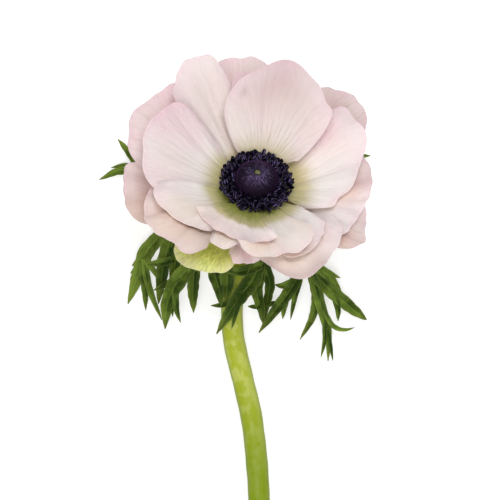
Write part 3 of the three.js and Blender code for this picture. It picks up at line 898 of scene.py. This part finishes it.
# %% [markdown]
# ## The leaves under the bloom
# Three leaves ring the stem below the bloom. Each is cut so deeply that it is really a spray of narrow
# lobes. A lobe is a long thin sheet along a smooth path, folded a little along its midrib and pointed
# at the end. Its row gives its half width, the heights it starts and ends at, its way from the stem,
# and for a blunter or a sharper lobe how late it tapers.

# %% Leaf lobes
WHORL = np.array([2.0, 63.6, 0.0])
LOBE_ROWS = 9
LOBE_STEPS = 26
LOBE_ACROSS = np.linspace(1, -1, LOBE_ROWS)[:, None]
LOBE_ALONG = np.linspace(0, 1, LOBE_STEPS + 1)[None, :]
LOBE_THICK = 0.32
LOBE_EDGE = 0.1
LOBE_FOLD = 0.32
MIDRIB_DEPTH = 0.12
MIDRIB_WIDTH = 0.12
LOBE_UNEVEN = 0.06


def lobe_path(start, end, way):
    """The midrib of a lobe, which falls from one height to another, slowly at first."""
    last = len(way) - 1
    spots = [[x, y, between(start, end, (i / last) ** 2)] for i, (x, y) in enumerate(way)]
    return smooth_path(np.array(spots) + WHORL, LOBE_STEPS)


def lobe_width(random, half, length, taper):
    """Half the width of a lobe at each of its points, uneven in its own way on either side."""
    s = LOBE_ALONG
    even = half * np.minimum(0.85 + s, 1.12 - 0.12 * s) * np.maximum(0.04, 1 - s**taper) ** 0.8
    uneven = [ripple(random, 0.6, 2.0)(length * s + start) for start in (0, 50)]
    return even * (1 + LOBE_UNEVEN * np.where(LOBE_ACROSS > 0, *uneven))


def lobe(tone, half, start, end, way, taper=3):
    """The body of one lobe, and the numbers that its points store."""
    random = np.random.default_rng(int(100 * abs(way[-1][0]) + 10 * abs(way[-1][1])))
    path = lobe_path(start, end, way)
    length = np.linalg.norm(np.diff(path, axis=0), axis=1).sum()
    width = lobe_width(random, half, length, taper)
    off_rib = np.abs(LOBE_ACROSS)
    fold = LOBE_FOLD * (off_rib**1.2 - 0.5) - MIDRIB_DEPTH * np.exp(-((off_rib / MIDRIB_WIDTH) ** 2))
    tangent = unit(np.gradient(path, axis=0))
    side = unit(np.cross(tangent, [0, 0, 1.0]))
    up = np.cross(side, tangent)
    top = path + (LOBE_ACROSS * width)[..., None] * side + (fold * width)[..., None] * up
    near_edge = eased(np.maximum(off_rib, LOBE_ALONG), 0.6, 1)
    points, faces = thin_body(top, between(LOBE_THICK, LOBE_EDGE, near_edge))
    numbers = {
        "blade_across": LOBE_ACROSS + 0 * LOBE_ALONG,
        "blade_along": length * LOBE_ALONG + 0 * LOBE_ACROSS,
        "blade_end": eased(LOBE_ALONG, 0.55, 1) + 0 * LOBE_ACROSS,
        # a random tone of the lobe's own, plus the painted shade given for the whole leaf
        "blade_tone": np.full(top.shape[:2], tone + random.uniform(-0.15, 0.35)),
    }
    return points, faces, {label: both_sides(values) for label, values in numbers.items()}


def leaf(name, lobes, tone=0):
    """One leaf: all its lobes in one piece."""
    piece = make_piece(f"{name}_leaf", *joined([lobe(tone, *row) for row in lobes]), leaf_finish)
    stand_for(piece, f"bract_{name}")
    print(piece.name, "has", len(lobes), "lobes")


# %% [markdown]
# The left leaf reaches furthest up: one thin branch runs behind the bloom and shows past the petals. Its
# other lobes hang down towards the table.

# %% Left leaf
leaf("left", [
    (1.6, 6.2, 5.2, [[-3.9, 0], [-17, 3.5], [-31, 2]]),
    (2.6, 5.2, 0.25, [[-28.5, 2], [-33.6, -4.3], [-36.1, -11.5], [-40, -22]]),
    (1.4, 4.2, 0.4, [[-35, -7], [-34, -16], [-33.8, -24.3]]),
    (1.2, 4.4, 0.3, [[-34.5, -6], [-32.3, -17], [-28.2, -27.7]]),
    (1.2, 4.4, 3.6, [[-34.5, -6], [-31.4, -9.6], [-29.9, -13]]),
    (0.9, 3.8, 2.6, [[-34.5, -5.5], [-38.6, -8.9]]),
    (0.8, 3.6, 2.3, [[-35.5, -8], [-39.1, -11.6]]),
    (1.0, 3.4, 2.0, [[-36, -9.5], [-39.2, -14]]),
    (2.4, 5.3, 0.5, [[-24, 3], [-27, -6], [-28.5, -15], [-29.4, -22]]),
    (2.0, 5.3, 0.8, [[-22, 3.2], [-23.5, -8], [-25, -19]]),
    (1.4, 5.0, 4.4, [[-24, -6.5], [-28, -7.6], [-34, -8.2]]),
    (1.5, 6.2, 3.2, [[-3.9, 0.6], [-20, 13], [-36, 24]]),
    (1.5, 3.2, 0.3, [[-34, 22.5], [-38, 28.5], [-43.5, 35.3]]),
    (1.0, 3.2, 1.2, [[-34, 22.5], [-40, 26], [-46, 25.3]]),
    (1.5, 3.2, 0.3, [[-34, 22.5], [-42, 24.3], [-50, 21.2]]),
])

# %% [markdown]
# The front leaf grows on the stem's upper side, so it stands highest and its lobes hang over the stem.

# %% Front leaf
leaf("front", [
    (1.8, 11.2, 11.4, [[0, -1], [3, -4.5], [7, -9]]),
    (2.9, 11.2, 6.8, [[5.5, -7.5], [3.4, -13.5], [-0.3, -18.2], [-3.9, -23.5], [-9.1, -32.3]], 2.4),
    (1.0, 9.6, 8.0, [[-0.5, -17], [-2.6, -25.5], [-3.9, -30.5]]),
    (1.0, 8.8, 8.4, [[-3, -20.3], [-7, -22.2], [-11.2, -22.5]]),
    (2.1, 11.2, 0.9, [[3, -4.5], [5.6, -10], [4.8, -17], [6.3, -24], [7, -29]]),
    (0.8, 6.6, 5.0, [[6, -23], [1.6, -22.8]]),
    (1.8, 11.0, 0.9, [[3.4, -4], [7.4, -9], [9.3, -15], [8.2, -22], [7.3, -28.3]]),
    (0.9, 6.6, 3.4, [[8.2, -22.4], [11.8, -21.2]]),
    (1.8, 11.2, 11.0, [[6.5, -8.5], [-1, -10.6], [-8, -10]]),
    (2.2, 11.2, 9.0, [[-8.3, -6.5], [-9.7, -11], [-8.3, -16.5], [-7.4, -22.8]]),
    (2.4, 11.2, 8.4, [[-5.6, -9], [-5.4, -14.5], [-5.8, -20.8]]),
    (1.6, 11.2, 9.8, [[-0.3, -1.2], [-11, -4], [-19, -9.5]]),
    (2.8, 9.8, 3.5, [[-17, -7.5], [-22.5, -14], [-26, -21.5], [-27, -30.6]]),
    (1.1, 8.6, 6.4, [[-22, -12.5], [-27, -15.4], [-31, -17.3]]),
    (0.8, 7.6, 5.6, [[-24.5, -17], [-28.5, -24.5]]),
    (1.2, 8.2, 4.2, [[-23.3, -14], [-23, -23.5], [-21.6, -28.5]]),
    (0.8, 6.8, 5.0, [[-25, -19], [-24.3, -26.5]]),
    (2.1, 9.8, 4.6, [[-16.6, -7], [-17.2, -16], [-17.1, -25]]),
# painted shade: the front leaf is painted darker for the shade it lies in
], tone=-0.15)

# %% [markdown]
# The right leaf spreads to the lower right, and one thin branch runs up behind the petals, where only
# its tips show.

# %% Right leaf
leaf("right", [
    (1.7, 6.4, 5.6, [[4.3, 0], [14, -3], [23.5, -9.5]]),
    (2.3, 5.6, 0.25, [[22, -8], [28.6, -15.5], [36.5, -22.5], [43, -27.6]], 6),
    (1.2, 4.7, 1.2, [[31.3, -17.6], [32.8, -23], [33.1, -28]]),
    (1.3, 5.6, 3.4, [[23, -7.6], [30.5, -11.6], [33.8, -13]]),
    (1.4, 5.6, 3.4, [[23, -8], [30.5, -13], [34.5, -19]]),
    (1.6, 5.4, 0.8, [[22.8, -9], [25.2, -18], [24.3, -26], [19.8, -34.5]]),
    (1.8, 5.4, 0.3, [[23.6, -9], [26.8, -22], [29.5, -32], [29.6, -42]]),
    (0.8, 4.1, 0.4, [[28.2, -26.5], [28.3, -34.5], [27.1, -40.8]]),
    (0.7, 3.2, 0.4, [[29.4, -31], [30.5, -37], [31.3, -42]]),
    (0.9, 4.5, 1.4, [[27.8, -24], [31.4, -29.7], [35.2, -31], [38.9, -30.2]]),
    (1.5, 6.4, 7.2, [[4.3, -0.4], [13, -4.5], [20.5, -11.5]]),
    (2.1, 7.2, 4.2, [[20.5, -9.5], [16.4, -17], [11.3, -24], [5.5, -32]]),
    (1.2, 6.9, 6.6, [[17.5, -14], [13.8, -15.6], [10.9, -15.3]]),
    (1.3, 6.4, 3.8, [[15.8, -16.5], [14.4, -22], [13.8, -27.2]]),
    (1.0, 7.0, 3.0, [[20.3, -11.5], [17.8, -20.5], [16.5, -27.5]]),
    (1.4, 6.4, 3.4, [[4.3, 0.5], [20, 8.5], [36, 20]]),
    (1.5, 3.4, 0.3, [[34, 18.5], [36.5, 25.5], [39.8, 29], [44.3, 29.5]]),
    (1.2, 3.4, 0.3, [[34, 18.5], [38.5, 19.6], [41.5, 17]]),
])

# %% [markdown]
# ## The velvet of the heart
# The heart is nearly black, with a sheen like velvet. Its mesh stores the painted highlight on the styles,
# the painted purple rim light round the outline and the green tip, so three blends colour it.

# %% Heart finish
VIOLET = (0.008, 0.004, 0.012, 1)
# painted highlight on the styles
STYLE_HIGHLIGHT_COLOUR = (0.21, 0.16, 0.33, 1)
# painted purple rim light round the dome's outline
PAINTED_RIM_LIGHT_COLOUR = (0.15, 0.055, 0.20, 1)
TIP_GREEN = (0.36, 0.38, 0.15, 1)


def velvet():
    """The finish of the heart."""
    finish, surface = start_finish(
        "velvet_heart", Roughness=0.6, Specular_IOR_Level=0.1,
        Sheen_Weight=0.25, Sheen_Roughness=0.35, Sheen_Tint=(0.45, 0.16, 0.55, 1),
    )
    fur = VIOLET
    for label, colour in (("style", STYLE_HIGHLIGHT_COLOUR), ("rim", PAINTED_RIM_LIGHT_COLOUR), ("tip", TIP_GREEN)):
        fur = blend_of(attribute(surface, label), fur, colour)
    plug(fur, surface.inputs["Base Color"])
    return finish


heart_finish = velvet()
print("heart finish wired")

# %% [markdown]
# ## The heart
# The heart is a dome of tiny fruits, each with a hair-thin style, so it looks like dark velvet. The dome
# is a profile turned round the axis. The styles are real little spikes, set out by the golden angle, the
# turn that seeds of a sunflower follow, because it never leaves a gap. They lie downhill, as fur does.

# %% Heart
DOME_PROFILE = np.array([[2.9, 3.5], [5.2, 3.9], [6.7, 5.1], [5.9, 7.0], [3.5, 8.5], [1.2, 9.0]])
DOME_FOOT = 1.2
DOME_TOP = 9.1
DOME_ROWS = 40
DOME_SIDES = 72
STYLES = 1400
STYLE_LENGTH = 1.7
STYLE_RADIUS = 0.08
SPIKE_SIDES = 4
SPIKE_RINGS = [(0, 1), (0.5, 0.8), (1, 0.25)]
# painted light along each spike: dim at the root, brightest in the middle, dimmer at the tip
SPIKE_LIGHT = np.repeat([0.3, 1.0, 0.5], SPIKE_SIDES)
GOLDEN_ANGLE = math.pi * (3 - 5**0.5)
AXIS = np.array([0, 0, 1.0])


def directions_at(turn):
    """Which way is outward, and which is sideways, at a turn round the axis."""
    outward = np.array([math.cos(turn), math.sin(turn), 0])
    return outward, np.array([-outward[1], outward[0], 0])


def dome_line(share):
    """Radius and height of the dome's profile, from its foot's edge (0) to beside its top (1)."""
    return rim_line(DOME_PROFILE[:, 0], share), rim_line(DOME_PROFILE[:, 1], share)


def dome_body():
    """The dome, closed below and at its top, and dark all over."""
    radius, height = dome_line(np.linspace(0, 1, DOME_ROWS))
    radius = np.concatenate([[0.5, DOME_PROFILE[0, 0]], radius, [0.4]])
    height = np.concatenate([[DOME_FOOT, DOME_FOOT], height, [DOME_TOP]])
    angle = ring_angles(DOME_SIDES)
    rings = [radius[:, None] * np.cos(angle), radius[:, None] * np.sin(angle), height[:, None] + 0 * angle]
    points = np.stack(rings, axis=-1).reshape(-1, 3)
    dark = np.zeros(len(points))
    return points, tube_faces(len(radius), DOME_SIDES), {"style": dark, "rim": dark}


def spike(root, direction, bend, length):
    """A thin spike from a root, bent at its end."""
    across = unit(np.cross(direction, [0.3, 0.2, 0.93]))
    over = np.cross(direction, across)
    angle = ring_angles(SPIKE_SIDES)[:, None]
    ring = STYLE_RADIUS * (across * np.cos(angle) + over * np.sin(angle))
    tip = unit(direction + bend)
    rings = [root + (tip if at == 1 else direction) * length * at + ring * size for at, size in SPIKE_RINGS]
    return np.concatenate(rings), tube_faces(len(rings), SPIKE_SIDES)


def style_body(random, share, turn):
    """One style, rooted at a share of the dome's profile and a turn round it."""
    outward, sideways = directions_at(turn)
    shares = (share, share - 0.01, min(1, share + 0.01))
    (radius, height), before, after = (dome_line(np.array([at])) for at in shares)
    uphill = unit(outward * (after[0] - before[0]) + AXIS * (after[1] - before[1]))
    normal = np.cross(sideways, uphill)
    direction = unit(0.4 * normal - 0.8 * uphill + sideways * random.normal(0, 0.3))
    length = STYLE_LENGTH * random.uniform(0.6, 1.1)
    return spike(outward * radius + AXIS * height, direction, -0.25 * normal, length)


def style_painted_light(random, share, turn):
    """A style's painted highlight on the near flank, and its painted purple rim light round the far outline.
    """
    near = 0.5 - 0.5 * math.sin(turn)
    # painted highlight, on the near flank and towards the top
    painted_highlight = 2.2 * random.uniform(0, 1) ** 3 * eased(share, 0.6, 0.9) * between(0.2, 1, near)
    from_outline = (share - between(0.54, 0.3, near)) / 0.1
    # painted purple rim light, round the far outline
    purple = np.exp(-(from_outline**2)) * between(1.5, 0.05, near) * random.uniform(0.3, 1)
    return {"style": painted_highlight * SPIKE_LIGHT, "rim": np.full(len(SPIKE_LIGHT), purple)}


def build_heart():
    """The dome and all its styles, in place of the plain pistil."""
    random = np.random.default_rng(3)
    bodies = [dome_body()]
    for number in range(STYLES):
        share = 0.24 + 0.76 * (1 - (number + 0.5) / STYLES) ** 0.62
        turn = number * GOLDEN_ANGLE
        bodies.append((*style_body(random, share, turn), style_painted_light(random, share, turn)))
    points, faces, numbers = joined(bodies)
    from_top = np.linalg.norm(points - AXIS * DOME_TOP, axis=1)
    numbers["tip"] = (1 - eased(from_top, 0.35, 0.6)) * random.uniform(0, 1, len(points))
    piece = make_piece("velvet_dome", in_bloom(points), faces, numbers, heart_finish)
    stand_for(piece, "pistil")
    print("heart has", STYLES, "styles")


build_heart()

# %% [markdown]
# ## The skin of a stamen
# An anther is navy, nearly black and a little glossy, with a painted violet highlight along its ridges.
# A fine noise stands for its grains of pollen.

# %% Stamen finish
ANTHER = (0.0022, 0.0012, 0.006, 1)
# violet for the pollen grains and for the painted highlight
POLLEN_AND_HIGHLIGHT_VIOLET = (0.28, 0.21, 0.47, 1)
FILAMENT = (0.012, 0.008, 0.022, 1)


def navy_skin():
    """The finish of the stamens."""
    finish, surface = start_finish("navy_anther", Roughness=0.3, Specular_IOR_Level=0.1)
    grain = blotches(surface, scale=2500.0)
    bean = tinted(ANTHER, (POLLEN_AND_HIGHLIGHT_VIOLET, grain, 0.45, 0.8, 0.03))
    # painted highlight along the ridges
    bean = blend_of(attribute(surface, "ridge"), bean, POLLEN_AND_HIGHLIGHT_VIOLET)
    bean = blend_of(attribute(surface, "thread"), bean, FILAMENT)
    plug(bean, surface.inputs["Base Color"])
    relief(surface, grain, 0.06, 0.5)
    return finish


stamen_finish = navy_skin()
print("stamen finish wired")

# %% [markdown]
# ## The stamens
# More than two hundred stamens crowd round the heart. Each is a thread that runs out under the dome,
# turns up, and carries a bean of two lobes, full of dark pollen. They grow in whorls, and no two lean
# the same way, so each gets its own small random lean from a seeded generator.

# %% Stamens
COLLAR_RADIUS = 4.4
THREAD_RADIUS = 0.22
THREAD_STEPS = 8
THREAD_SIDES = 6
BEAN_ROWS = 9
BEAN_SIDES = 14
BEAN_LENGTH_TO_RADIUS = 3.1
BEAN_FLAT = 0.75
BEAN_BOW = 0.12
BEAN_POLE = 0.08
GROOVE_DEPTH = 0.3


def thread(path):
    """A thin round thread along a path."""
    points = smooth_path(path, THREAD_STEPS)
    tangent = unit(np.gradient(points, axis=0))
    across = unit(np.cross(tangent, [0.31, 0.17, 0.2]))[:, None]
    over = np.cross(tangent, across[:, 0])[:, None]
    angle = ring_angles(THREAD_SIDES)[:, None]
    rings = points[:, None] + THREAD_RADIUS * (across * np.cos(angle) + over * np.sin(angle))
    numbers = {"thread": np.ones(rings[..., 0].size), "ridge": np.zeros(rings[..., 0].size)}
    return rings.reshape(-1, 3), tube_faces(THREAD_STEPS + 1, THREAD_SIDES), numbers


def bean_body(foot, direction, face, length, radius):
    """An anther: a bean of two lobes with a groove between them. It stores its painted highlight along the
    ridges.
    """
    lat = np.linspace(BEAN_POLE, math.pi - BEAN_POLE, BEAN_ROWS)[:, None]
    lon = ring_angles(BEAN_SIDES)[None, :]
    groove = 1 - GROOVE_DEPTH * np.exp(-((np.abs(np.cos(lon)) - 1) ** 2) / 0.03)
    round_out = np.sin(lat) ** 0.5 * radius * groove
    lengthwise = length / 2 * (1 - np.cos(lat)) + 0 * lon
    towards_face = BEAN_FLAT * round_out * np.cos(lon) + BEAN_BOW * length * np.sin(lat)
    sideways = round_out * np.sin(lon)
    ways = ((lengthwise, direction), (towards_face, face), (sideways, unit(np.cross(direction, face))))
    points = foot + sum(amount[..., None] * way for amount, way in ways)
    # painted highlight: a line along each lobe's crest, on the face side
    ridge = np.exp(-(((np.cos(lon) - 0.55) / 0.15) ** 2)) * np.sin(lat) ** 2
    numbers = {"thread": np.zeros(ridge.size), "ridge": ridge.ravel()}
    return points.reshape(-1, 3), tube_faces(BEAN_ROWS, BEAN_SIDES), numbers


def stamen(random, turn, collar, reach, foot, size):
    """The thread and the bean of one stamen."""
    outward, sideways = directions_at(turn)
    bean_foot = outward * (reach - 0.3) + AXIS * foot
    lean = unit(AXIS + outward * random.normal(0.35, 0.2) + sideways * random.normal(0, 0.42))
    bend = outward * between(COLLAR_RADIUS, reach, 0.6) + AXIS * between(collar, foot, 0.5)
    spun = random.uniform(0, 2 * math.pi)
    face = unit(np.cross(lean, sideways * math.cos(spun) + outward * math.sin(spun)))
    length = BEAN_LENGTH_TO_RADIUS * size * random.uniform(0.85, 1.1)
    bean = bean_body(bean_foot, lean, face, length, size)
    stalk = thread([outward * COLLAR_RADIUS + AXIS * collar, bend, bean_foot, bean_foot + lean * 0.4])
    return joined([stalk, bean])


def whorl(name, count, collar, out_at, foot, size, seed):
    """One whorl of stamens round the heart. The size is half a bean's width."""
    random = np.random.default_rng(seed)
    made = []
    for number in range(count):
        turn = (number + random.uniform(-0.3, 0.3)) * 2 * math.pi / count
        reach = out_at + (0.4 if number % 2 else -0.4) + random.uniform(-0.2, 0.2)
        made.append(stamen(random, turn, collar, reach, foot + random.uniform(-0.5, 0.5), size))
    points, faces, numbers = joined(made)
    piece = make_piece(f"{name}_whorl", in_bloom(points), faces, numbers, stamen_finish)
    stand_for(piece, f"stamens_{name}")
    print(piece.name, "has", count, "stamens")


whorl("inner", 58, 2.95, 8.6, 4.4, 0.68, seed=11)
whorl("middle", 78, 2.25, 10.1, 3.5, 0.72, seed=12)
whorl("outer", 96, 1.55, 11.5, 2.6, 0.76, seed=13)
